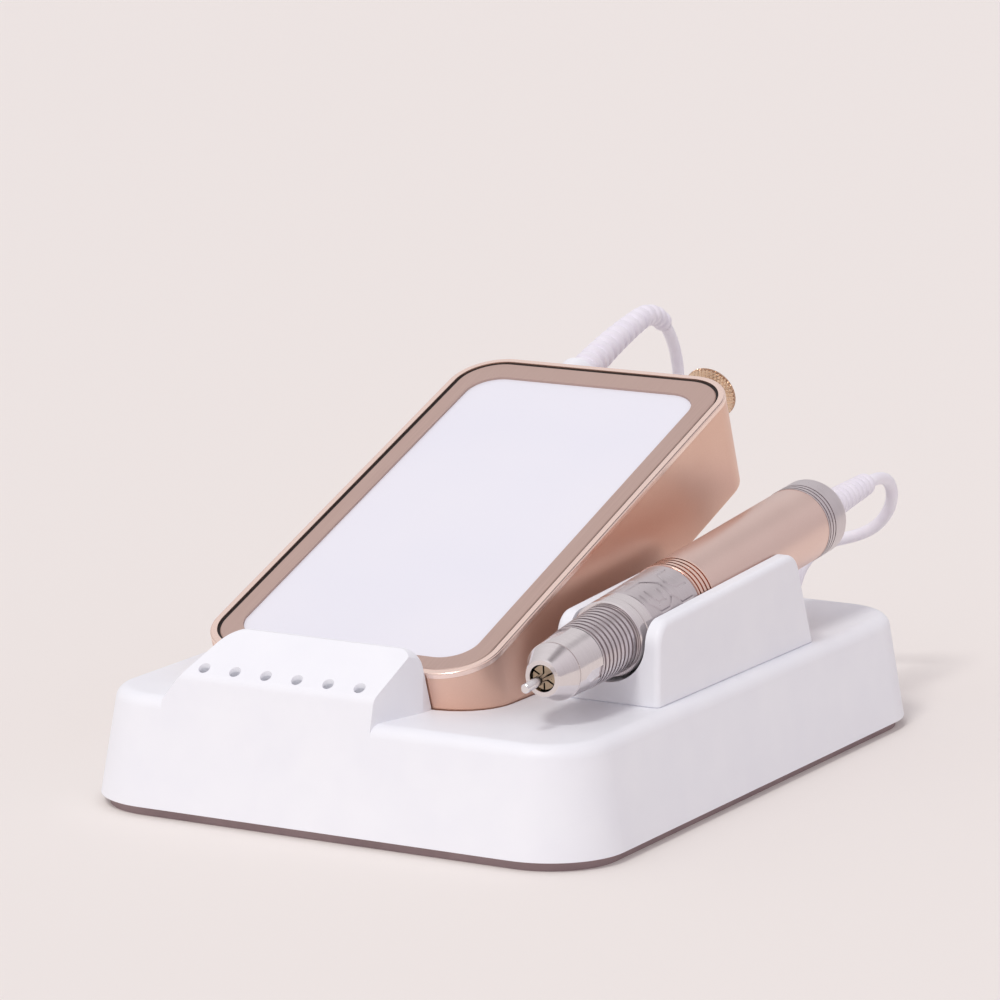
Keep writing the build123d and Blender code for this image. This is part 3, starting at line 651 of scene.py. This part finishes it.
KNURL_TEETH = 40
KNURL_DEPTH = 0.45
KNURL_CUT = 1.25
KNURL_PITCH = 2 * pi * KNOB_R / KNURL_TEETH
KNURL_COLUMNS = 8 * KNURL_TEETH
KNURL_ROWS = 74
KNOB_BORE = 2.05
KNOB_INSET = 0.02
KNOB_EDGES = 0.7, 0.4
KNOB_EDGE_DEPTH = 0.5


def add_knob():
    """The knob's grip with a diamond knurl cut round it."""
    places = straight(KNOB_START, KNOB_END, KNURL_ROWS, knob_frame)
    length = KNOB_END - KNOB_START

    def radius(row, angle):
        at = length * row / (KNURL_ROWS - 1)
        edge = min(1.0, at / KNOB_EDGES[0], (length - at) / KNOB_EDGES[1])
        relief = knurl(angle, KNURL_TEETH, at, KNURL_PITCH * 2)
        depth = KNURL_DEPTH * min(1.0, KNURL_CUT * (1 - relief))
        return KNOB_R - KNOB_INSET - depth - KNOB_EDGE_DEPTH * (1 - edge)

    points, faces = sleeve(places, KNURL_COLUMNS, radius, bore=KNOB_BORE)
    piece = mesh_piece("knurled_grip", points, faces, "knob_gold", "knob", smooth=False)
    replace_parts(piece, "speed_knob")


# ------------------------------------------------------------------- grip sleeve
def segment_distance(x, y, segment):
    """How far a point is from a straight stroke."""
    (x0, y0), (x1, y1) = segment
    along_x = x1 - x0
    along_y = y1 - y0
    part = ((x - x0) * along_x + (y - y0) * along_y) / (along_x ** 2 + along_y ** 2)
    part = min(1.0, max(0.0, part))
    return hypot(x - x0 - part * along_x, y - y0 - part * along_y)


GRIP_ROWS = 150
GRIP_COLUMNS = 400
GRIP_EDGE = 0.3
GRIP_EDGE_DEPTH = 0.15
STROKE_WIDE = 0.36
STROKE_DEEP = 0.2
MOTIFS = 4
GRIP_RADII = 9.6, 9.9
MOTIF = [
    [(0.6, 2.2), (0.6, 9.0), (4.0, 12.4), (8.4, 12.4),
     (11.0, 9.8), (11.0, 5.4), (7.8, 2.2), (4.6, 2.2)],
    [(4.2, 5.2), (7.0, 5.2), (8.6, 6.8), (8.6, 9.6), (5.4, 9.6)],
    [(8.4, 12.4), (11.6, 15.6), (11.6, 20.8)],
    [(1.6, 20.8), (1.6, 16.6), (4.8, 14.6), (7.6, 16.8), (7.6, 20.8)],
    [(11.0, 9.8), (14.4, 9.8)],
    [(13.4, 2.2), (13.4, 6.6)],
]


def add_grip():
    """The satin sleeve, with an angular line pattern engraved round it."""
    columns = GRIP_COLUMNS // MOTIFS
    start, end = GRIP_RADII
    wide = 2 * pi * end / MOTIFS
    strokes = [pair for line in MOTIF for pair in zip(line, line[1:])]
    length = GRIP_END - GRIP_START
    depths = []
    for row in range(GRIP_ROWS):
        at = length * row / (GRIP_ROWS - 1)
        line = []
        for column in range(columns):
            across = wide * column / columns
            near = min(segment_distance(across, at, stroke) for stroke in strokes)
            line.append(STROKE_DEEP * (1 - smooth_step(near / STROKE_WIDE)))
        depths.append(line)

    def radius(row, angle):
        at = length * row / (GRIP_ROWS - 1)
        column = round(angle / (2 * pi) * GRIP_COLUMNS) % columns
        full = start + (end - start) * at / length
        edge = GRIP_EDGE_DEPTH * (1 - min(1.0, at / GRIP_EDGE, (length - at) / GRIP_EDGE))
        return full - edge - depths[row][column]

    places = straight(GRIP_START, GRIP_END, GRIP_ROWS, pen)
    points, faces = sleeve(places, GRIP_COLUMNS, radius, bore=GRIP_BORE)
    piece = mesh_piece("engraved_grip", points, faces, "silver_satin", "handpiece")
    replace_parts(piece, "grip_sleeve")


# ------------------------------------------------------------------------ boots
BOOT_SIDES = 36
NECK_START = PEN_REAR - 8.2
NECK_END = PEN_REAR - 0.3
NECK_ROWS = 4
NECK_SHARE = 0.87
RIB_ROWS = 12
RIB_HALF = 0.24
RIB_FLANK = 0.14
RIB_CROWN = 0.06
GROOVE_SHARE = 0.10
SLOT_SHARE = 0.12


def add_boot(name, places, neck_rows, radii, ribs, body, replaced):
    """A strain relief: soft ribs that shrink to the tip, slotted on alternate sides."""
    last = len(places) - 1 - neck_rows
    start, end = radii

    def radius(row, angle):
        part = (row - neck_rows) / last
        if part < 0:
            return NECK_SHARE * start
        full = start + (end - start) * part
        phase = part * ribs % 1
        groove = smooth_step((abs(phase - 0.5) - RIB_HALF) / RIB_FLANK)
        side = cos(angle + pi / 2 * (floor(part * ribs) % 2)) ** 2
        crown = RIB_CROWN * full * (2 * phase - 1) ** 2
        return full - crown - full * groove * (GROOVE_SHARE + SLOT_SHARE * side)

    points, faces = sleeve(places, BOOT_SIDES, radius)
    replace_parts(mesh_piece(name, points, faces, "boot_white", body), replaced)


add_knob()
add_grip()
neck = straight(NECK_START, NECK_END, NECK_ROWS, pen)
pen_boot = straight(PEN_REAR, PEN_BOOT_END, RIB_ROWS * PEN_BOOT_RIBS + 1, pen)
add_boot(
    "handpiece_relief", neck + pen_boot, NECK_ROWS, PEN_BOOT_RADII, PEN_BOOT_RIBS,
    "handpiece", "handpiece_boot",
)
add_boot(
    "controller_relief", along(JACK_LINE), 0, JACK_BOOT_RADII, JACK_BOOT_RIBS,
    "controller", "controller_boot",
)
